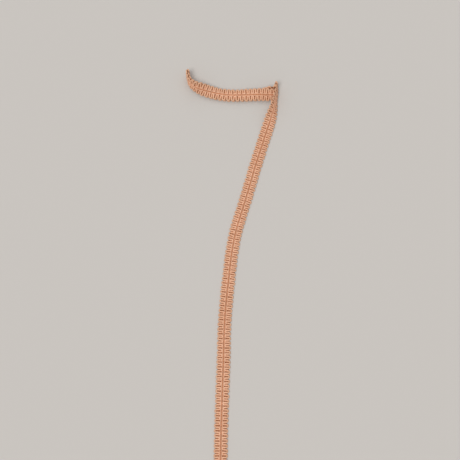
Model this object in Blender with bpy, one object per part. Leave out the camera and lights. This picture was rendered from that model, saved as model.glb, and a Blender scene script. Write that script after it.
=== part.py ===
"""A length of gimp braid, laid out: a flattened loop of two layers, and a long tail.

Blender 4.5, metres, +Z up. X is right, Y is up the table, and the braid lies on the plane Z = 0.
The origin is on that plane, under the middle of the braid's box.
"""

import random
from collections import namedtuple

import bpy
import bmesh
import numpy as np
from mathutils import Vector

MM = 0.001

# The braid's own sizes, in millimetres
HALF_WIDTH = 7.9
LOOP_LENGTH = 5.5
FACE_HEIGHT = 1.2
BACK_DEPTH = 1.0
QUARTERS = 4

# The looped edge and the two raised rows beside the middle groove, in millimetres
NOTCH_DEPTH = 0.9
EDGE_LIFT = 0.15
EDGE_LIFT_SWING = 0.2
LOOP_OFFSET = 4.6
LOOP_HEIGHT = 0.75
LOOP_SWING = 0.3
RIDGE_OFFSET = 1.4
RIDGE_HEIGHT = 0.98
RIDGE_SWING = 0.22
GROOVE_HEIGHT = 0.45
BACK_INSET = 0.5

# Unevenness from loop to loop
LENGTH_SPREAD = 0.07
REACH_SPREAD = 0.22
SEED = 16

# The two layers of the flattened loop, in millimetres
LAYER_STEP = 2.6
TIP_STEP = 2.9
TIP_REACH = 1.8
LAYER_SPACING = 3.0
UNDER_LAYER_ENDS_AT_X = 40.0

# How finely a bend is cut
FINE_STEPS = 20000
LARGEST_TURN = np.radians(20)

COLOUR = (0.60, 0.32, 0.195, 1.0)
ROUGHNESS = 0.72

# A row is a place on the braid's middle line: x and y in millimetres, the compass bearing of the
# braid's lower edge in degrees, and how far that edge dips below level. The height follows from the dip.
Bend = namedtuple("Bend", "x y bearing dip")

# A run of the braid: places on its middle line, and the directions of its lower edge and its face there
Run = namedtuple("Run", "places edges faces")

# From the cut end on the right to the tip of the fold on the left
UPPER_LAYER = (
    Bend(53.2, 230.9, -86, 35),
    Bend(45.0, 231.2, -84, 28),
    Bend(35.0, 232.0, -85, 21),
    Bend(25.0, 232.1, -87, 12),
    Bend(12.0, 232.0, -90, 4),
    Bend(-2.0, 232.2, -90, 0),
    Bend(-15.0, 233.7, -95, 1),
    Bend(-24.5, 235.4, -99, 11),
    Bend(-32.5, 236.9, -103, 28),
    Bend(-38.5, 238.3, -107, 46),
    Bend(-44.0, 240.2, -114, 61),
    Bend(-48.6, 242.6, -125, 72),
    Bend(-52.3, 246.0, -141, 80),
    Bend(-54.8, 250.4, -158, 86),
    Bend(-56.2, 255.4, -170, 90),
    Bend(-56.7, 260.8, -176, 91),
)

# From under the cut end, up on edge and round the corner, then down until it lies flat
CORNER = (
    Bend(46.5, 235.3, -84, 31),
    Bend(50.8, 237.6, -92, 48),
    Bend(53.0, 240.2, -114, 71),
    Bend(53.8, 243.2, -142, 84),
    Bend(55.1, 245.3, -85, 88),
    Bend(56.8, 243.5, -9, 87),
    Bend(56.4, 239.5, -5, 79),
    Bend(55.8, 234.0, -3, 75),
    Bend(54.8, 228.0, -4, 71),
    Bend(53.4, 219.5, -7, 62),
    Bend(51.6, 211.5, -9, 47),
    Bend(49.5, 204.5, -11, 32),
    Bend(47.1, 196.5, -13, 16),
    Bend(43.3, 185.0, -15, 4),
    Bend(39.8, 173.5, -15, 0),
)

# The flat tail, down to its cut end
TAIL = (
    Bend(35.4, 159.4, 0, 0),
    Bend(27.4, 133.1, 0, 0),
    Bend(20.2, 107.1, 0, 0),
    Bend(12.6, 81.5, 0, 0),
    Bend(5.3, 56.5, 0, 0),
    Bend(0.4, 31.5, 0, 0),
    Bend(-2.7, 6.5, 0, 0),
    Bend(-5.3, -17.5, 0, 0),
    Bend(-7.6, -41.5, 0, 0),
    Bend(-8.9, -64.9, 0, 0),
    Bend(-9.5, -88.5, 0, 0),
    Bend(-10.1, -111.5, 0, 0),
    Bend(-10.9, -133.5, 0, 0),
    Bend(-11.6, -156.1, 0, 0),
    Bend(-12.3, -183.5, 0, 0),
    Bend(-12.7, -210.5, 0, 0),
    Bend(-13.0, -238.5, 0, 0),
    Bend(-13.0, -264.0, 0, 0),
)


def unit(vectors):
    """Each vector of the array at length one."""
    return vectors / np.linalg.norm(vectors, axis=-1, keepdims=True)


def lower_edge(bend):
    """The direction from the middle line to the braid's lower edge."""
    bearing = np.radians(bend.bearing)
    dip = np.radians(bend.dip)
    level = np.array((np.cos(bearing), np.sin(bearing), 0.0)) * np.cos(dip)
    return level - np.array((0.0, 0.0, np.sin(dip)))


def height(edge, depth):
    """How high the middle line lies with the lower edge on the table, given its height when level."""
    fall = -edge[..., 2]
    return HALF_WIDTH * fall + depth * np.sqrt(1.0 - fall * fall)


def stations(bends, depth):
    """The places and lower edges of a table's rows."""
    edges = np.array([lower_edge(bend) for bend in bends])
    places = np.array([(bend.x, bend.y, 0.0) for bend in bends])
    places[:, 2] = height(edges, depth)
    return places, edges


def with_faces(places, edges):
    """A run of the braid: its edges turned square to the way it goes, and the direction of its face."""
    heading = unit(np.gradient(places, axis=0))
    edges = unit(edges - (edges * heading).sum(axis=1)[:, None] * heading)
    return Run(places, edges, np.cross(heading, edges))


def knots_along(places):
    """One knot a place, spread by the square root of the distance, which keeps sharp bends round."""
    gaps = np.sqrt(np.linalg.norm(np.diff(places, axis=0), axis=1))
    return np.concatenate(([0.0], np.cumsum(gaps)))


def upper_layer():
    """The upper layer's places and edges, close together, resting on the layer beneath."""
    depth = LAYER_STEP + FACE_HEIGHT
    places, edges = stations(UPPER_LAYER, depth)
    knots = knots_along(places)
    length = np.linalg.norm(np.diff(places, axis=0), axis=1).sum()
    wanted = np.interp(np.linspace(0.0, length, round(length / LAYER_SPACING) + 1),
                       np.linspace(0.0, length, len(knots)), knots)
    places = smooth(places, knots, wanted)
    edges = unit(smooth(edges, knots, wanted))
    places[:, 2] = height(edges, depth)
    return with_faces(places, edges)


def tip_turn(upper):
    """The turn at the tip, from the end of the upper layer to the start of the layer beneath."""
    place, edge, face = (part[-1] for part in upper)
    heading = np.cross(edge, face)
    places = np.array((place - 0.5 * TIP_STEP * face + TIP_REACH * heading, place - TIP_STEP * face))
    return Run(places, np.array((edge, edge)), np.array((heading, -face)))


def under_layer(upper):
    """The layer beneath: the upper one in reverse, one layer step below, with its face down."""
    places, edges, faces = (part[-2::-1] for part in upper)
    kept = places[:, 0] < UNDER_LAYER_ENDS_AT_X
    return Run(places[kept] - LAYER_STEP * faces[kept], edges[kept], -faces[kept])


def corner_and_tail():
    """From the end of the layer beneath to the far cut end."""
    corner = stations(CORNER, FACE_HEIGHT)
    tail = stations(TAIL, BACK_DEPTH)
    return with_faces(*(np.concatenate(parts) for parts in zip(corner, tail)))


def route():
    """Every place on the middle line, with the directions of the lower edge and the face, end to end."""
    upper = upper_layer()
    runs = (upper, tip_turn(upper), under_layer(upper), corner_and_tail())
    return Run(*(np.concatenate(parts) for parts in zip(*runs)))


def smooth(values, knots, wanted):
    """A smooth curve through the values at uneven knots, read at the wanted knots."""
    steps = np.diff(knots)[:, None]
    rates = np.diff(values, axis=0) / steps
    slopes = np.empty_like(values)
    slopes[0] = rates[0]
    slopes[-1] = rates[-1]
    slopes[1:-1] = (rates[:-1] * steps[1:] + rates[1:] * steps[:-1]) / (steps[1:] + steps[:-1])
    index = np.clip(np.searchsorted(knots, wanted, side="right") - 1, 0, len(steps) - 1)
    step = steps[index]
    part = (wanted - knots[index])[:, None] / step
    rise = 3 * part**2 - 2 * part**3
    leave = (part**3 - 2 * part**2 + part) * step
    arrive = (part**3 - part**2) * step
    between = (1 - rise) * values[index] + rise * values[index + 1]
    return between + leave * slopes[index] + arrive * slopes[index + 1]


class Path:
    """The middle line by its length, with the braid's frame along it."""

    def __init__(self):
        self.run = route()
        self.knots = knots_along(self.run.places)
        self.fine = np.linspace(0.0, self.knots[-1], FINE_STEPS + 1)
        line = smooth(self.run.places, self.knots, self.fine)
        steps = np.linalg.norm(np.diff(line, axis=0), axis=1)
        self.distances = np.concatenate(([0.0], np.cumsum(steps)))
        self.length = self.distances[-1]

    def frame(self, distances):
        """Place, direction of the lower edge and direction of the face at each distance."""
        wanted = np.interp(distances, self.distances, self.fine)
        place, edge, face = (smooth(values, self.knots, wanted) for values in self.run)
        edge = unit(edge)
        face = unit(face - (face * edge).sum(axis=1)[:, None] * edge)
        return place, edge, face


def loop_ends(length, generator):
    """Where each loop starts and stops: about LOOP_LENGTH long, and a little uneven."""
    count = round(length / LOOP_LENGTH)
    shares = np.array([1.0 + generator.uniform(-LENGTH_SPREAD, LENGTH_SPREAD) for _ in range(count)])
    return np.concatenate(([0.0], np.cumsum(shares))) * length / shares.sum()


def row_distances(path, ends):
    """Distance and loop phase of each cross-section: four to a loop, and more in a tight bend."""
    phases = np.arange((len(ends) - 1) * QUARTERS + 1) / QUARTERS
    distances = np.interp(phases, np.arange(len(ends)), ends)
    face = path.frame(distances)[2]
    turns = np.arccos(np.clip((face[1:] * face[:-1]).sum(axis=1), -1.0, 1.0))
    rows = [phases[0]]
    for before, after, turn in zip(phases[:-1], phases[1:], turns):
        pieces = max(1, int(np.ceil(turn / LARGEST_TURN)))
        rows += [before + (after - before) * (piece + 1) / pieces for piece in range(pieces)]
    rows = np.array(rows)
    return np.interp(rows, np.arange(len(ends)), ends), rows


def section(phase, reach_left, reach_right):
    """One cross-section as (across, up) pairs in millimetres. A loop starts and stops in a notch."""
    swing = np.cos(2 * np.pi * (phase - 0.5))
    double_swing = np.cos(4 * np.pi * phase)
    notch = NOTCH_DEPTH * (1 - swing) / 2
    left = HALF_WIDTH + reach_left - notch
    right = HALF_WIDTH + reach_right - notch
    edge = EDGE_LIFT + EDGE_LIFT_SWING * swing
    loop = LOOP_HEIGHT - LOOP_SWING * double_swing
    ridge = RIDGE_HEIGHT - RIDGE_SWING * swing
    return (
        (-left, edge),
        (-LOOP_OFFSET, loop),
        (-RIDGE_OFFSET, ridge),
        (0.0, GROOVE_HEIGHT),
        (RIDGE_OFFSET, ridge),
        (LOOP_OFFSET, loop),
        (right, edge),
        (right - BACK_INSET, -BACK_DEPTH),
        (BACK_INSET - left, -BACK_DEPTH),
    )


def cross_sections(path):
    """The points of every cross-section, lifted where they would lie below the table."""
    generator = random.Random(SEED)
    ends = loop_ends(path.length, generator)
    reaches = [[generator.uniform(-REACH_SPREAD, 0.0) for _ in ends] for _ in range(2)]
    distances, phases = row_distances(path, ends)
    left, right = [np.interp(phases - 0.5, np.arange(len(ends)), reach) for reach in reaches]
    place, edge, face = path.frame(distances)
    sections = []
    for row, phase in enumerate(phases):
        pairs = section(phase, left[row], right[row])
        points = np.array([place[row] + out * edge[row] + up * face[row] for out, up in pairs])
        points[:, 2] -= min(0.0, points[:, 2].min())
        sections.append(points * MM)
    return sections


def loft(sections):
    """One closed body through the cross-sections, with both ends capped."""
    mesh = bmesh.new()
    rings = [[mesh.verts.new(Vector(point)) for point in points] for points in sections]
    for ring, following in zip(rings[:-1], rings[1:]):
        for index in range(len(ring)):
            beside = (index + 1) % len(ring)
            mesh.faces.new((ring[index], ring[beside], following[beside], following[index]))
    mesh.faces.new(reversed(rings[0]))
    mesh.faces.new(rings[-1])
    bmesh.ops.recalc_face_normals(mesh, faces=mesh.faces)
    return mesh


def braid_material():
    material = bpy.data.materials.new("peach gimp")
    material.use_nodes = True
    shader = material.node_tree.nodes["Principled BSDF"]
    shader.inputs["Base Color"].default_value = COLOUR
    shader.inputs["Roughness"].default_value = ROUGHNESS
    shader.inputs["Metallic"].default_value = 0.0
    return material


def make_braid(collection):
    body = loft(cross_sections(Path()))
    mesh = bpy.data.meshes.new("braid")
    body.to_mesh(mesh)
    body.free()
    mesh.materials.append(braid_material())
    collection.objects.link(bpy.data.objects.new("braid", mesh))


def main():
    for thing in list(bpy.data.objects):
        bpy.data.objects.remove(thing, do_unlink=True)
    collection = bpy.data.collections.new("gimp braid")
    bpy.context.scene.collection.children.link(collection)
    make_braid(collection)


main()
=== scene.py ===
"""The looks of a length of gimp braid, laid out as a flattened loop of two layers and a long tail.

Blender 4.5, metres, +Z up. X is right, Y is up the table, and the braid lies on the plane Z = 0.
A place on the braid is told in three ways: along its middle line, across to its lower or right
edge, and out of its face.
"""

import random
from collections import namedtuple

import bpy
import numpy as np
from mathutils import Matrix, Vector


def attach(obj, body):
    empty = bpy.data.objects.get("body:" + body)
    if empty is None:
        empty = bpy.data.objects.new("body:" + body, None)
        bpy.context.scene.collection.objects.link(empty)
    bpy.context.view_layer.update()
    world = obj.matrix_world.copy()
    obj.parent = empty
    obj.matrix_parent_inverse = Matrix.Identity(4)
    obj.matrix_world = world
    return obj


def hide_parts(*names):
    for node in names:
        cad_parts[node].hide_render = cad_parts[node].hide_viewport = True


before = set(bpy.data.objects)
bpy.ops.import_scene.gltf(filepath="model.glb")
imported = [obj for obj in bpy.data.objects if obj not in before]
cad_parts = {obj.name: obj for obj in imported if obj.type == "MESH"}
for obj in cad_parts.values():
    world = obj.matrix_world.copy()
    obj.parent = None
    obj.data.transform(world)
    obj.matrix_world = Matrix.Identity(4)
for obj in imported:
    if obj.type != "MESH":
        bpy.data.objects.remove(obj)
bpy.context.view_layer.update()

MM = 0.001
TURN = 2 * np.pi

# The braid's own sizes, in millimetres
HALF_WIDTH = 7.9
LOOP_LENGTH = 5.5
FACE_HEIGHT = 1.2
BACK_DEPTH = 1.0

# The two layers of the flattened loop, in millimetres
LAYER_STEP = 2.6
TIP_STEP = 2.9
TIP_REACH = 1.8
LAYER_SPACING = 3.0
UNDER_LAYER_ENDS_AT_X = 40.0

# A row is a place on the braid's middle line: x and y in millimetres, the compass bearing of the
# braid's lower edge in degrees, and how far that edge dips below level. The height follows from the dip.
Bend = namedtuple("Bend", "x y bearing dip")

# A run of the braid: places on its middle line, and the directions of its lower edge and its face there
Run = namedtuple("Run", "places edges faces")

# From the cut end on the right to the tip of the fold on the left
UPPER_LAYER = (
    Bend(53.2, 230.9, -86, 35),
    Bend(45.0, 231.2, -84, 28),
    Bend(35.0, 232.0, -85, 21),
    Bend(25.0, 232.1, -87, 12),
    Bend(12.0, 232.0, -90, 4),
    Bend(-2.0, 232.2, -90, 0),
    Bend(-15.0, 233.7, -95, 1),
    Bend(-24.5, 235.4, -99, 11),
    Bend(-32.5, 236.9, -103, 28),
    Bend(-38.5, 238.3, -107, 46),
    Bend(-44.0, 240.2, -114, 61),
    Bend(-48.6, 242.6, -125, 72),
    Bend(-52.3, 246.0, -141, 80),
    Bend(-54.8, 250.4, -158, 86),
    Bend(-56.2, 255.4, -170, 90),
    Bend(-56.7, 260.8, -176, 91),
)

# From under the cut end, up on edge and round the corner, then down until it lies flat
CORNER = (
    Bend(46.5, 235.3, -84, 31),
    Bend(50.8, 237.6, -92, 48),
    Bend(53.0, 240.2, -114, 71),
    Bend(53.8, 243.2, -142, 84),
    Bend(55.1, 245.3, -85, 88),
    Bend(56.8, 243.5, -9, 87),
    Bend(56.4, 239.5, -5, 79),
    Bend(55.8, 234.0, -3, 75),
    Bend(54.8, 228.0, -4, 71),
    Bend(53.4, 219.5, -7, 62),
    Bend(51.6, 211.5, -9, 47),
    Bend(49.5, 204.5, -11, 32),
    Bend(47.1, 196.5, -13, 16),
    Bend(43.3, 185.0, -15, 4),
    Bend(39.8, 173.5, -15, 0),
)

# The flat tail, down to its cut end
TAIL = (
    Bend(35.4, 159.4, 0, 0),
    Bend(27.4, 133.1, 0, 0),
    Bend(20.2, 107.1, 0, 0),
    Bend(12.6, 81.5, 0, 0),
    Bend(5.3, 56.5, 0, 0),
    Bend(0.4, 31.5, 0, 0),
    Bend(-2.7, 6.5, 0, 0),
    Bend(-5.3, -17.5, 0, 0),
    Bend(-7.6, -41.5, 0, 0),
    Bend(-8.9, -64.9, 0, 0),
    Bend(-9.5, -88.5, 0, 0),
    Bend(-10.1, -111.5, 0, 0),
    Bend(-10.9, -133.5, 0, 0),
    Bend(-11.6, -156.1, 0, 0),
    Bend(-12.3, -183.5, 0, 0),
    Bend(-12.7, -210.5, 0, 0),
    Bend(-13.0, -238.5, 0, 0),
    Bend(-13.0, -264.0, 0, 0),
)

# How finely the route is reckoned, and the step between its final points in millimetres
FINE_STEPS = 20000
ROUTE_STEP = 0.25

# How far across from the middle line the cords and threads lie: a looped cord swings about its middle
LOOP_MIDDLE = 4.32 * MM
LOOP_SWING = 2.72 * MM
BINDING_PLACE = 3.3 * MM
RIDGE_PLACE = 1.2 * MM

# How square the ends of a loop are, and how far they stray along the braid, which slants the legs
CORNERS = 0.12
LEG_SLANT = 0.34 * MM

# How far above or below the middle line the binding threads lie, and how far they wave there
BINDING_LEVEL = 0.56 * MM
BINDING_WAVE = 0.34 * MM

# The ground, and the least height of a cord or thread above the table
GROUND_WIDTH = 12.4 * MM
GROUND_LEVEL = -0.45 * MM
GROUND_THICKNESS = 0.3 * MM
TABLE_GAP = 0.02 * MM

# A looped cord: its side, where it starts and stops, and its seed. Its phase grows by one from a loop
# to the next. It begins at start, and ends at the number of loops plus stop.
Cord = namedtuple("Cord", "name side start stop seed")
CORDS = (
    Cord("left_gimp_cord", -1.0, -0.42, -0.60, 3),
    Cord("right_gimp_cord", 1.0, -0.30, -0.67, 4),
)

# The step between the seeds of a cord's four drifts
DRIFT_SEED_STEP = 100.0

# The fibres loose at a cut: how many, the cord's radius, how far they spread, and the longest one
Tuft = namedtuple("Tuft", "count radius spread length")
CORD_TUFT = Tuft(26, 0.8 * MM, 0.7 * MM, 2.4 * MM)
RIDGE_TUFT = Tuft(8, 0.4 * MM, 0.6 * MM, 1.8 * MM)

# A tuft's height, as a share of its width
TUFT_HEIGHT = 0.7

# One fibre's least and most, as shares of its tuft's radius, spread, length and, for the curl, spread
FIBRE_PLACES = (0.2, 1.0)
FIBRE_SPREADS = (0.2, 1.2)
FIBRE_LENGTHS = (0.4, 1.0)
FIBRE_CURLS = (-0.5, 0.5)

# A fibre's straight parts, how far inside the cord it starts, its radius, and the seed of them all
FIBRE_STEPS = 5
FIBRE_ROOT = 0.9 * MM
FIBRE_RADIUS = 0.07 * MM
FIBRE_SEED = 7

# A thread's finish: its colour on the turns and, darker, in the painted shade between them, the length
# of a turn, and its surface
Finish = namedtuple("Finish", "name light dark turn_length unevenness relief roughness sheen")
PEACH_GIMP = Finish("peach gimp", (0.91, 0.55, 0.37, 1.0), (0.61, 0.275, 0.135, 1.0), 0.34 * MM,
                    unevenness=0.2, relief=0.06 * MM, roughness=0.3, sheen=0.25)
ORANGE_THREAD = Finish("orange thread", (0.82, 0.38, 0.20, 1.0), (0.56, 0.22, 0.10, 1.0), 0.5 * MM,
                       unevenness=0.12, relief=0.05 * MM, roughness=0.55, sheen=0.1)
# The ground that binds the cords, in browns far darker than its thread: painted shade for the slits
# between the legs
SHADE_DARKENED_GROUND = Finish("shade-darkened ground", (0.38, 0.135, 0.05, 1.0), (0.24, 0.08, 0.028, 1.0), 0.5 * MM,
                       unevenness=0.12, relief=0.05 * MM, roughness=0.8, sheen=0.0)

# Painted shade on the outside turn of each loop: its colour, and how much of it
TURN_SHADE_COLOUR = (0.52, 0.28, 0.15, 1.0)
TURN_SHADE_SHARE = 0.45

# The light colour's share in the painted shade between the turns, what a turn adds, and what flecks and
# patches weigh
LEAST_LIGHT = 0.45
TURN_LIGHT = 0.4
FLECK_LIGHT = 2.0
PATCH_LIGHT = 3.0
FLECKS_PER_METRE = 1800.0
PATCHES_PER_METRE = 45.0

# The relief of the turns and flecks, and the surface that all threads have in common
TURN_SHARPNESS = 0.6
FLECK_HEIGHT = 0.6
BUMP_STRENGTH = 0.8
SPECULAR = 0.5
SHEEN_ROUGHNESS = 0.4

# The table, and half its side in metres
TABLE_HALF = 3.0
TABLE_COLOUR = (0.56, 0.53, 0.50, 1.0)
TABLE_ROUGHNESS = 0.9

# The light: each lamp's strength, width in degrees and direction, and the even light all round
Lamp = namedtuple("Lamp", "name strength width place")
LAMPS = (
    Lamp("key", 1.55, 25.0, (-0.35, -0.6, 1.2)),
    Lamp("fill", 0.6, 60.0, (-0.1, 0.9, 1.0)),
)
LAMP_COLOUR = (1.0, 0.985, 0.965)
STUDIO_COLOUR = (0.97, 0.985, 1.0, 1.0)
STUDIO_STRENGTH = 0.48

# The camera: above the braid, leaning back towards its tail by some degrees. Lengths are in metres.
CAMERA_TARGET = (-0.0023, 0.0565, 0.0)
CAMERA_DISTANCE = 1.050
CAMERA_LEAN = 17.0
NEAREST_SEEN = 0.01
FOCAL_PIXELS = 875.0
PICTURE_PIXELS = 460.0


# The route: where the braid's middle line goes

def unit(vectors):
    """Each vector of the array at length one."""
    return vectors / np.linalg.norm(vectors, axis=-1, keepdims=True)


def lower_edge(bend):
    """The direction from the middle line to the braid's lower edge."""
    bearing = np.radians(bend.bearing)
    dip = np.radians(bend.dip)
    level = np.array((np.cos(bearing), np.sin(bearing), 0.0)) * np.cos(dip)
    return level - np.array((0.0, 0.0, np.sin(dip)))


def height(edge, depth):
    """How high the middle line lies with the lower edge on the table, given its height when level."""
    fall = -edge[..., 2]
    return HALF_WIDTH * fall + depth * np.sqrt(1.0 - fall * fall)


def stations(bends, depth):
    """The places and lower edges of a table's rows."""
    edges = np.array([lower_edge(bend) for bend in bends])
    places = np.array([(bend.x, bend.y, 0.0) for bend in bends])
    places[:, 2] = height(edges, depth)
    return places, edges


def with_faces(places, edges):
    """A run of the braid: its edges turned square to the way it goes, and the direction of its face."""
    heading = unit(np.gradient(places, axis=0))
    edges = unit(edges - (edges * heading).sum(axis=1)[:, None] * heading)
    return Run(places, edges, np.cross(heading, edges))


def knots_along(places):
    """One knot a place, spread by the square root of the distance, which keeps sharp bends round."""
    gaps = np.sqrt(np.linalg.norm(np.diff(places, axis=0), axis=1))
    return np.concatenate(([0.0], np.cumsum(gaps)))


def upper_layer():
    """The upper layer's places and edges, close together, resting on the layer beneath."""
    depth = LAYER_STEP + FACE_HEIGHT
    places, edges = stations(UPPER_LAYER, depth)
    knots = knots_along(places)
    length = np.linalg.norm(np.diff(places, axis=0), axis=1).sum()
    wanted = np.interp(np.linspace(0.0, length, round(length / LAYER_SPACING) + 1),
                       np.linspace(0.0, length, len(knots)), knots)
    places = smooth(places, knots, wanted)
    edges = unit(smooth(edges, knots, wanted))
    places[:, 2] = height(edges, depth)
    return with_faces(places, edges)


def tip_turn(upper):
    """The turn at the tip, from the end of the upper layer to the start of the layer beneath."""
    place, edge, face = (part[-1] for part in upper)
    heading = np.cross(edge, face)
    places = np.array((place - 0.5 * TIP_STEP * face + TIP_REACH * heading, place - TIP_STEP * face))
    return Run(places, np.array((edge, edge)), np.array((heading, -face)))


def under_layer(upper):
    """The layer beneath: the upper one in reverse, one layer step below, with its face down."""
    places, edges, faces = (part[-2::-1] for part in upper)
    kept = places[:, 0] < UNDER_LAYER_ENDS_AT_X
    return Run(places[kept] - LAYER_STEP * faces[kept], edges[kept], -faces[kept])


def corner_and_tail():
    """From the end of the layer beneath to the far cut end."""
    corner = stations(CORNER, FACE_HEIGHT)
    tail = stations(TAIL, BACK_DEPTH)
    return with_faces(*(np.concatenate(parts) for parts in zip(corner, tail)))


def smooth(values, knots, wanted):
    """A smooth curve through the values at uneven knots, read at the wanted knots."""
    steps = np.diff(knots)[:, None]
    rates = np.diff(values, axis=0) / steps
    slopes = np.empty_like(values)
    slopes[0] = rates[0]
    slopes[-1] = rates[-1]
    slopes[1:-1] = (rates[:-1] * steps[1:] + rates[1:] * steps[:-1]) / (steps[1:] + steps[:-1])
    index = np.clip(np.searchsorted(knots, wanted, side="right") - 1, 0, len(steps) - 1)
    step = steps[index]
    part = (wanted - knots[index])[:, None] / step
    rise = 3 * part**2 - 2 * part**3
    leave = (part**3 - 2 * part**2 + part) * step
    arrive = (part**3 - part**2) * step
    between = (1 - rise) * values[index] + rise * values[index + 1]
    return between + leave * slopes[index] + arrive * slopes[index + 1]


def route():
    """The middle line in even steps, with the directions of the lower edge and the face."""
    upper = upper_layer()
    runs = (upper, tip_turn(upper), under_layer(upper), corner_and_tail())
    places, edges, faces = (np.concatenate(parts) for parts in zip(*runs))
    knots = knots_along(places)
    fine = np.linspace(0.0, knots[-1], FINE_STEPS + 1)
    line = smooth(places, knots, fine)
    distances = np.concatenate(([0.0], np.cumsum(np.linalg.norm(np.diff(line, axis=0), axis=1))))
    steps = round(distances[-1] / ROUTE_STEP)
    wanted = np.interp(np.linspace(0.0, distances[-1], steps + 1), distances, fine)
    place, edge, face = (smooth(values, knots, wanted) for values in (places, edges, faces))
    edge = unit(edge)
    face = unit(face - (face * edge).sum(axis=1)[:, None] * edge)
    return Run(place * MM, edge, face), distances[-1] * MM


def route_mesh(run):
    """The middle line as a mesh of edges that carries both directions, for the trees to read."""
    mesh = bpy.data.meshes.new("middle line")
    count = len(run.places)
    mesh.from_pydata(run.places.tolist(), [(index, index + 1) for index in range(count - 1)], [])
    for name, values in (("across", run.edges), ("outward", run.faces)):
        attribute = mesh.attributes.new(name, "FLOAT_VECTOR", "POINT")
        attribute.data.foreach_set("vector", values.astype(np.float32).ravel())
    return mesh


# Node trees, written as sums

class Number:
    """A number in a node tree, reckoned with as any number is."""

    def __init__(self, tree, socket):
        self.tree = tree
        self.socket = socket

    def __add__(self, other):
        return self.tree.math("ADD", self, other)

    def __sub__(self, other):
        return self.tree.math("SUBTRACT", self, other)

    def __rsub__(self, other):
        return self.tree.math("SUBTRACT", other, self)

    def __mul__(self, other):
        return self.tree.math("MULTIPLY", self, other)

    def __truediv__(self, other):
        return self.tree.math("DIVIDE", self, other)

    def __pow__(self, other):
        return self.tree.math("POWER", self, other)

    def __abs__(self):
        return self.tree.math("ABSOLUTE", self)

    __radd__ = __add__
    __rmul__ = __mul__


class Arrow(Number):
    """A direction or a place in a node tree."""

    def __add__(self, other):
        return Arrow(self.tree, self.tree.add("ShaderNodeVectorMath", [self, other]).outputs[0])

    def __mul__(self, other):
        scaled = self.tree.add("ShaderNodeVectorMath", [self, other], operation="SCALE")
        return Arrow(self.tree, scaled.outputs[0])


class Tree:
    """A node tree with named inputs and outputs."""

    def __init__(self, group):
        self.group = group

    @classmethod
    def new(cls, name, kind="GeometryNodeTree"):
        tree = cls(bpy.data.node_groups.new(name, kind))
        tree.entry = tree.group.nodes.new("NodeGroupInput")
        tree.exit = tree.group.nodes.new("NodeGroupOutput")
        return tree

    def setting(self, name, kind="Float"):
        """A named input of the whole tree."""
        self.group.interface.new_socket(name, in_out="INPUT", socket_type="NodeSocket" + kind)
        return Number(self, self.entry.outputs[name])

    def settings(self, *names):
        return [self.setting(name) for name in names]

    def result(self, name, kind, value):
        """A named output of the whole tree."""
        self.group.interface.new_socket(name, in_out="OUTPUT", socket_type="NodeSocket" + kind)
        self.plug(self.exit.inputs[name], value)

    def plug(self, socket, value):
        if isinstance(value, Number):
            self.group.links.new(value.socket, socket)
        else:
            socket.default_value = value

    def add(self, kind, inputs=(), **choices):
        """A new node. Its inputs are given in order, or by name."""
        node = self.group.nodes.new(kind)
        for name, choice in choices.items():
            setattr(node, name, choice)
        sockets = [socket for socket in node.inputs if socket.enabled]
        if isinstance(inputs, dict):
            by_name = {socket.name: socket for socket in sockets}
            sockets = [by_name[name] for name in inputs]
            inputs = inputs.values()
        for socket, value in zip(sockets, inputs):
            self.plug(socket, value)
        return node

    def value(self, kind, inputs=(), output=None, **choices):
        """One output of a new node: the one named, or else the first."""
        return self.output(self.add(kind, inputs, **choices), output)

    def output(self, node, name=None):
        found = [socket for socket in node.outputs if socket.enabled and name in (None, socket.name)]
        return Number(self, found[0])

    def math(self, operation, *values):
        return self.value("ShaderNodeMath", values, operation=operation)

    def cosine(self, turns):
        return self.math("COSINE", turns * TURN)

    def sine(self, turns):
        return self.math("SINE", turns * TURN)


def made(tree, mesh, name, **settings):
    """The plain mesh object that a geometry tree makes of a mesh."""
    source = bpy.data.objects.new(name + " source", mesh)
    modifier = source.modifiers.new("making", "NODES")
    modifier.node_group = tree.group
    given = {key.replace("_", " "): value for key, value in settings.items()}
    for socket in tree.group.interface.items_tree:
        if socket.in_out == "INPUT" and socket.name in given:
            modifier[socket.identifier] = given.pop(socket.name)
    if given:
        raise KeyError(f"{tree.group.name} has no input {sorted(given)}")
    bpy.context.scene.collection.objects.link(source)
    depsgraph = bpy.context.evaluated_depsgraph_get()
    plain = bpy.data.meshes.new_from_object(
        source.evaluated_get(depsgraph), preserve_all_data_layers=True, depsgraph=depsgraph)
    bpy.data.objects.remove(source, do_unlink=True)
    plain.name = name
    piece = bpy.data.objects.new(name, plain)
    bpy.context.scene.collection.objects.link(piece)
    return piece


# Geometry trees: cords and threads that follow the route

def loop_drift_group():
    """How a loop strays: its outer and inner end each by itself, and its legs in between."""
    tree = Tree.new("loop drift")
    phase = tree.setting("phase")
    seed = tree.setting("seed", "Int")
    outer_share = 0.5 + 0.5 * tree.cosine(phase)
    ends = (tree.math("ROUND", phase) * 2.0, tree.math("FLOOR", phase) * 2.0 + 1.0)
    for number, name in enumerate(("along", "across", "rise", "plumpness")):
        outer, inner = [
            tree.value("FunctionNodeRandomValue",
                       {"Min": -1.0, "Max": 1.0, "ID": end, "Seed": seed + DRIFT_SEED_STEP * number})
            for end in ends
        ]
        tree.result(name, "Float", outer * outer_share + inner * (1.0 - outer_share))
    return tree


def drifted(tree, drift_group, phase):
    """The four drifts of the loop at this phase, by name."""
    node = tree.add("GeometryNodeGroup", node_tree=drift_group.group)
    tree.plug(node.inputs["phase"], phase)
    tree.plug(node.inputs["seed"], tree.setting("seed", "Int"))
    return {socket.name: Number(tree, socket) for socket in node.outputs}


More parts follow.
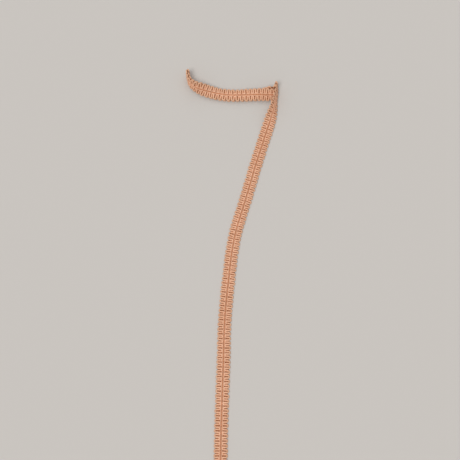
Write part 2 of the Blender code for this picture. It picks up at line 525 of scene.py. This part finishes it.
def placed(tree, points, along, across, outward):
    """The points put on the braid, by how far along, across and out of its face they lie."""
    curve = tree.value("GeometryNodeMeshToCurve", [tree.route])
    place = None
    for name, distance in (("across", across), ("outward", outward)):
        direction = tree.value("GeometryNodeInputNamedAttribute", [name], data_type="FLOAT_VECTOR")
        sample = tree.add("GeometryNodeSampleCurve",
                          {"Curves": curve, "Value": direction, "Length": along},
                          mode="LENGTH", data_type="FLOAT_VECTOR")
        place = place or Arrow(tree, tree.output(sample, "Position").socket)
        place = place + Arrow(tree, tree.output(sample, "Value").socket) * distance
    return tree.value("GeometryNodeSetPosition", {"Geometry": points, "Position": place})


def tube(tree, line, radius):
    """A round tube along the line that knows how far along it is, and lies flat on the table."""
    curve = tree.value("GeometryNodeMeshToCurve", [line])
    length = tree.value("GeometryNodeSplineParameter", output="Length")
    curve = tree.value("GeometryNodeStoreNamedAttribute",
                       {"Geometry": curve, "Name": "along", "Value": length}, domain="POINT")
    profile = tree.value("GeometryNodeCurvePrimitiveCircle",
                         {"Resolution": tree.setting("sides", "Int"), "Radius": 1.0})
    mesh = tree.value("GeometryNodeCurveToMesh",
                      {"Curve": curve, "Profile Curve": profile, "Scale": radius, "Fill Caps": True})
    position = tree.add("ShaderNodeSeparateXYZ", [tree.value("GeometryNodeInputPosition")])
    lifted = tree.math("MAXIMUM", tree.output(position, "Z"), TABLE_GAP)
    place = tree.value("ShaderNodeCombineXYZ",
                       [tree.output(position, "X"), tree.output(position, "Y"), lifted])
    return tree.value("GeometryNodeSetPosition", {"Geometry": mesh, "Position": place})


def finished(tree, mesh):
    """The tree's end: smooth, real, and of its material."""
    mesh = tree.value("GeometryNodeSetShadeSmooth", [mesh])
    mesh = tree.value("GeometryNodeRealizeInstances", [mesh])
    mesh = tree.value("GeometryNodeSetMaterial", {"Geometry": mesh, "Material": tree.material})
    tree.result("made", "Geometry", mesh)
    return tree


def started(name):
    """A tree that reads the route and takes a material."""
    tree = Tree.new(name)
    tree.route = tree.setting("route", "Geometry")
    tree.material = tree.setting("material", "Material")
    return tree


def strand_points(tree):
    """A strand's points in a row, and each one's phase: it grows by one from a loop to the next."""
    start, end, points_per_loop = tree.settings("start", "end", "points per loop")
    count = (end - start) * points_per_loop + 1.0
    points = tree.value("GeometryNodeMeshLine", {"Count": count, "Offset": (MM, 0.0, 0.0)},
                        mode="OFFSET")
    return points, start + tree.value("GeometryNodeInputIndex") / points_per_loop


def gimp_cord_tree(drift_group):
    """The thick cord that runs in loops from the middle of the braid to one edge and back."""
    tree = started("gimp cord")
    points, phase = strand_points(tree)
    loop, side, middle, swing, squareness, corners, bulge = tree.settings(
        "loop length", "side", "middle", "swing", "squareness", "corners", "bulge")
    radius, inner_dip, outer_dip, outer_slimming, leg_lift = tree.settings(
        "radius", "inner dip", "outer dip", "outer slimming", "leg lift")
    pinch, pinch_place, pinch_reach = tree.settings("pinch", "pinch place", "pinch reach")
    slant, stray, unlevel, plumpness = tree.settings("slant", "stray", "unlevel", "plumpness")
    drift = drifted(tree, drift_group, phase)
    swung = tree.cosine(phase) * (1.0 + corners) - tree.cosine(3.0 * phase) * corners
    legs = tree.sine(phase)
    place = phase + 0.5 + squareness * tree.sine(2.0 * phase) + bulge * legs
    along = loop * place + slant * drift["along"]
    across = middle + swing * swung + stray * drift["across"]
    inner = (0.5 - 0.5 * swung) ** 3.0
    outer = (0.5 + 0.5 * swung) ** 3.0
    outward = leg_lift * legs + unlevel * drift["rise"] - inner_dip * inner - outer_dip * outer
    line = placed(tree, points, along, side * across, outward)
    # How far a point lies on the outside turn of its loop, kept for the painted shade there
    line = tree.value("GeometryNodeStoreNamedAttribute",
                      {"Geometry": line, "Name": "turn_shade", "Value": outer}, domain="POINT")
    from_pinch = tree.math("MINIMUM", abs(across - pinch_place) / pinch_reach, 1.0)
    pinched = pinch * (1.0 - from_pinch * from_pinch) ** 2.0
    slimmed = (1.0 - pinched) * (1.0 - outer_slimming * outer)
    thickness = radius * slimmed * (1.0 + plumpness * drift["plumpness"])
    return finished(tree, tube(tree, line, thickness))


def thread_tree(drift_group):
    """A thread that runs the length of the braid, and waves sideways and in height as it goes."""
    tree = started("thread")
    points, phase = strand_points(tree)
    loop, across, weave, level, wave, turns, radius = tree.settings(
        "loop length", "across", "weave", "level", "wave", "turns", "radius")
    slant, unlevel, shift = tree.settings("slant", "unlevel", "shift")
    drift = drifted(tree, drift_group, phase)
    along = loop * (phase + 0.5) + slant * drift["along"]
    turned = turns * (phase + shift) - 0.5
    aside = across + weave * tree.sine(turned) + unlevel * drift["across"]
    outward = level + wave * tree.cosine(turned) + unlevel * drift["rise"]
    return finished(tree, tube(tree, placed(tree, points, along, aside, outward), radius))


def ground_tree():
    """The thin ground that the cords are bound to."""
    tree = started("ground")
    length, width, level = tree.settings("length", "width", "level")
    steps = tree.setting("steps", "Int")
    rows = tree.setting("rows", "Int")
    grid = tree.value("GeometryNodeMeshGrid",
                      {"Size X": length, "Size Y": width, "Vertices X": steps, "Vertices Y": rows})
    position = tree.add("ShaderNodeSeparateXYZ", [tree.value("GeometryNodeInputPosition")])
    along = tree.output(position, "X") + length * 0.5
    across = tree.output(position, "Y")
    for name, value in (("along", along), ("beside", across)):
        grid = tree.value("GeometryNodeStoreNamedAttribute",
                          {"Geometry": grid, "Name": name, "Value": value}, domain="POINT")
    along = tree.value("GeometryNodeInputNamedAttribute", ["along"], data_type="FLOAT")
    across = tree.value("GeometryNodeInputNamedAttribute", ["beside"], data_type="FLOAT")
    return finished(tree, placed(tree, grid, along, across, level))


# Frayed ends

def cord_place(cord, phase):
    """How far across the braid a looped cord lies at this phase."""
    swung = np.cos(phase * TURN) * (1.0 + CORNERS) - np.cos(3.0 * phase * TURN) * CORNERS
    return cord.side * (LOOP_MIDDLE + LOOP_SWING * swung)


def fibres(run, generator):
    """The lines of loose fibres at both cut ends: points, and the edges that join them."""
    points, edges = [], []
    for end, way in ((0, -1.0), (-1, 1.0)):
        place, aside, face = (Vector(part[end]) for part in run)
        axes = (place, way * face.cross(aside), aside, face)
        for cord in CORDS:
            phase = cord.start if end == 0 else cord.stop
            grow_tuft(points, edges, axes, cord_place(cord, phase), CORD_TUFT, generator)
            grow_tuft(points, edges, axes, cord.side * RIDGE_PLACE, RIDGE_TUFT, generator)
    return points, edges


def grow_tuft(points, edges, axes, across, tuft, generator):
    """Fibres that spread from one cut cord as they leave it."""
    place, heading, aside, face = axes
    for _ in range(tuft.count):
        angle = generator.uniform(0.0, TURN)
        out = tuft.radius * generator.uniform(*FIBRE_PLACES)
        spread = generator.uniform(*FIBRE_SPREADS) * tuft.spread
        length = generator.uniform(*FIBRE_LENGTHS) * tuft.length
        curl = generator.uniform(*FIBRE_CURLS) * tuft.spread
        first = len(points)
        for step in range(FIBRE_STEPS + 1):
            part = step / FIBRE_STEPS
            reach = out + spread * part
            beside = across + reach * np.cos(angle) + curl * part * part
            above = reach * np.sin(angle) * TUFT_HEIGHT
            points.append(place + heading * (length * part - FIBRE_ROOT) + aside * beside + face * above)
        edges += [(index, index + 1) for index in range(first, first + FIBRE_STEPS)]


def fibre_tree():
    """Thin tubes along loose lines."""
    tree = started("loose fibres")
    return finished(tree, tube(tree, tree.route, tree.setting("radius")))


def make_fibres(run, material):
    mesh = bpy.data.meshes.new("fibre lines")
    points, edges = fibres(run, random.Random(FIBRE_SEED))
    mesh.from_pydata(points, edges, [])
    return made(fibre_tree(), mesh, "loose_fibres", material=material, radius=FIBRE_RADIUS, sides=4)


# Materials

def wound_thread_group():
    """Fine turns of thread wound round the cord, as a colour and a height, with painted shade between
    the turns and on the outside turn of each loop.
    """
    tree = Tree.new("wound thread", "ShaderNodeTree")
    light = tree.setting("light", "Color")
    dark = tree.setting("dark", "Color")
    shade_colour = tree.setting("shade_colour", "Color")
    turn_length, unevenness, shade_share = tree.settings("turn length", "unevenness", "shade_share")
    along = tree.value("ShaderNodeAttribute", attribute_name="along", output="Fac")
    place = tree.value("ShaderNodeTexCoord", output="Object")
    turns = 0.5 + 0.5 * tree.sine(along / turn_length)
    flecks = tree.value("ShaderNodeTexNoise",
                        {"Vector": place, "Scale": FLECKS_PER_METRE, "Detail": 3.0})
    patches = tree.value("ShaderNodeTexNoise",
                         {"Vector": place, "Scale": PATCHES_PER_METRE, "Detail": 2.0})
    uneven = unevenness * ((flecks - 0.5) * FLECK_LIGHT + (patches - 0.5) * PATCH_LIGHT)
    # Painted shade: the colour goes towards the dark one between the turns, and flecks and patches shift
    # it at random
    share = tree.math("MAXIMUM", LEAST_LIGHT + TURN_LIGHT * turns + uneven, 0.0)
    share = tree.math("MINIMUM", share, 1.0)
    colour = tree.value("ShaderNodeMix", {"Factor": share, "A": dark, "B": light}, output="Result",
                        data_type="RGBA")
    # Painted shade mixed in on the outside turn of each loop
    turn_shade = tree.value("ShaderNodeAttribute", attribute_name="turn_shade", output="Fac")
    colour = tree.value("ShaderNodeMix", {"Factor": turn_shade * shade_share, "A": colour, "B": shade_colour},
                        output="Result", data_type="RGBA")
    tree.result("colour", "Color", colour)
    tree.result("height", "Float", turns ** TURN_SHARPNESS + flecks * FLECK_HEIGHT)
    return tree


def thread_material(group, finish):
    """A material of wound thread with this finish."""
    material = bpy.data.materials.new(finish.name)
    material.use_nodes = True
    tree = Tree(material.node_tree)
    shader = material.node_tree.nodes["Principled BSDF"]
    wound = tree.add("ShaderNodeGroup", node_tree=group.group)
    for socket, value in (("light", finish.light), ("dark", finish.dark), ("shade_colour", TURN_SHADE_COLOUR),
                          ("shade_share", TURN_SHADE_SHARE), ("turn length", finish.turn_length),
                          ("unevenness", finish.unevenness)):
        wound.inputs[socket].default_value = value
    tree.plug(shader.inputs["Base Color"], tree.output(wound, "colour"))
    bump = tree.value("ShaderNodeBump", {"Strength": BUMP_STRENGTH, "Distance": finish.relief,
                                         "Height": tree.output(wound, "height")})
    tree.plug(shader.inputs["Normal"], bump)
    shader.inputs["Roughness"].default_value = finish.roughness
    shader.inputs["Specular IOR Level"].default_value = SPECULAR
    shader.inputs["Sheen Weight"].default_value = finish.sheen
    shader.inputs["Sheen Roughness"].default_value = SHEEN_ROUGHNESS
    shader.inputs["Sheen Tint"].default_value = finish.light
    return material


def table_material():
    material = bpy.data.materials.new("pale table")
    material.use_nodes = True
    shader = material.node_tree.nodes["Principled BSDF"]
    shader.inputs["Base Color"].default_value = TABLE_COLOUR
    shader.inputs["Roughness"].default_value = TABLE_ROUGHNESS
    return material


# The pieces

def loop_count(length):
    """How many loops the braid has."""
    return round(length / (LOOP_LENGTH * MM))


def make_cords(mesh, length, drift_group, material):
    """The two looped cords."""
    tree = gimp_cord_tree(drift_group)
    loops = loop_count(length)
    return [
        made(tree, mesh, cord.name, material=material, start=cord.start, end=loops + cord.stop,
             points_per_loop=28.0, loop_length=length / loops, side=cord.side, middle=LOOP_MIDDLE,
             swing=LOOP_SWING, squareness=0.08, corners=CORNERS, bulge=0.02, radius=1.08 * MM,
             inner_dip=0.2 * MM, outer_dip=0.25 * MM, outer_slimming=0.12, leg_lift=0.18 * MM, pinch=0.1,
             pinch_place=BINDING_PLACE, pinch_reach=0.8 * MM, slant=LEG_SLANT, stray=0.2 * MM,
             unlevel=0.12 * MM, plumpness=0.05, seed=cord.seed, sides=10)
        for cord in CORDS
    ]


def joined(pieces, name):
    """The pieces as one mesh object."""
    with bpy.context.temp_override(active_object=pieces[0], object=pieces[0],
                                   selected_objects=pieces, selected_editable_objects=pieces):
        bpy.ops.object.join()
    pieces[0].name = name
    pieces[0].data.name = name
    return pieces[0]


def make_threads(mesh, length, drift_group, material, ridge_material):
    """The threads that bind the loops above and below, those in the middle groove, and the ridges."""
    tree = thread_tree(drift_group)
    loops = loop_count(length)
    common = dict(start=-0.5, end=loops - 0.5, loop_length=length / loops)
    binding = [
        made(tree, mesh, "thread", material=material, across=cord.side * BINDING_PLACE, weave=0.0,
             level=above * BINDING_LEVEL, wave=above * BINDING_WAVE, turns=2.0, slant=LEG_SLANT,
             radius=0.15 * MM, unlevel=0.05 * MM, shift=0.0, seed=cord.seed, sides=5,
             points_per_loop=12.0, **common)
        for cord in CORDS
        for above in (1.0, -1.0)
    ]
    groove = [
        made(tree, mesh, "thread", material=material, across=0.0, weave=0.18 * MM, level=level,
             wave=0.14 * MM, turns=2.0, slant=0.0, radius=0.32 * MM, unlevel=0.16 * MM, shift=shift,
             seed=CORDS[0].seed, sides=6, points_per_loop=14.0, **common)
        for level in (0.44 * MM, -0.4 * MM)
        for shift in (0.0, 0.25)
    ]
    ridges = [
        made(tree, mesh, "thread", material=ridge_material, across=cord.side * RIDGE_PLACE,
             weave=cord.side * 0.27 * MM, level=0.5 * MM, wave=0.27 * MM, turns=2.5, slant=0.0,
             radius=0.36 * MM, unlevel=0.08 * MM, shift=shift, seed=cord.seed, sides=6,
             points_per_loop=25.0, **common)
        for cord in CORDS
        for shift in (0.0, 0.2)
    ]
    return [joined(binding, "binding_threads"), joined(groove, "middle_threads"),
            joined(ridges, "ridge_cords")]


def make_ground(mesh, length, material):
    """The ground between and under the loops."""
    piece = made(ground_tree(), mesh, "ground", material=material, length=length, width=GROUND_WIDTH,
                 level=GROUND_LEVEL, steps=1110, rows=9)
    solid = piece.modifiers.new("thickness", "SOLIDIFY")
    solid.thickness = GROUND_THICKNESS
    solid.offset = 0.0
    return piece


# The table, the lights and the camera

def make_floor():
    mesh = bpy.data.meshes.new("floor")
    corners = [(x * TABLE_HALF, y * TABLE_HALF, 0.0) for x, y in ((-1, -1), (1, -1), (1, 1), (-1, 1))]
    mesh.from_pydata(corners, [], [(0, 1, 2, 3)])
    mesh.materials.append(table_material())
    floor = bpy.data.objects.new("floor", mesh)
    bpy.context.scene.collection.objects.link(floor)


def aimed(place, target):
    """The turn and place of a lamp or camera that looks from the place at the target."""
    place = Vector(place)
    turn = (Vector(target) - place).to_track_quat("-Z", "Y").to_matrix().to_4x4()
    return Matrix.Translation(place) @ turn


def make_lights():
    for lamp in LAMPS:
        sun = bpy.data.lights.new(lamp.name, "SUN")
        sun.energy = lamp.strength
        sun.angle = np.radians(lamp.width)
        sun.color = LAMP_COLOUR
        light = bpy.data.objects.new(lamp.name, sun)
        light.matrix_world = aimed(lamp.place, (0.0, 0.0, 0.0))
        bpy.context.scene.collection.objects.link(light)
    world = bpy.data.worlds.new("studio")
    world.use_nodes = True
    background = world.node_tree.nodes["Background"]
    background.inputs["Color"].default_value = STUDIO_COLOUR
    background.inputs["Strength"].default_value = STUDIO_STRENGTH
    bpy.context.scene.world = world


def make_camera():
    data = bpy.data.cameras.new("camera")
    data.lens = data.sensor_width * FOCAL_PIXELS / PICTURE_PIXELS
    data.clip_start = NEAREST_SEEN
    camera = bpy.data.objects.new("camera", data)
    lean = np.radians(CAMERA_LEAN)
    back = Vector((0.0, -np.sin(lean), np.cos(lean)))
    camera.matrix_world = aimed(Vector(CAMERA_TARGET) + CAMERA_DISTANCE * back, CAMERA_TARGET)
    bpy.context.scene.collection.objects.link(camera)
    bpy.context.scene.camera = camera


def main():
    run, length = route()
    mesh = route_mesh(run)
    drift_group = loop_drift_group()
    wound = wound_thread_group()
    gimp = thread_material(wound, PEACH_GIMP)
    thread = thread_material(wound, ORANGE_THREAD)
    cords = make_cords(mesh, length, drift_group, gimp)
    threads = make_threads(mesh, length, drift_group, thread, gimp)
    ground = make_ground(mesh, length, thread_material(wound, SHADE_DARKENED_GROUND))
    loose = make_fibres(run, gimp)
    for piece in (*cords, *threads, ground, loose):
        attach(piece, "root")
        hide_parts("braid")
    GROUND_WIDTH * length
    make_floor()
    make_lights()
    make_camera()
    bpy.context.scene.view_settings.view_transform = "Standard"


main()
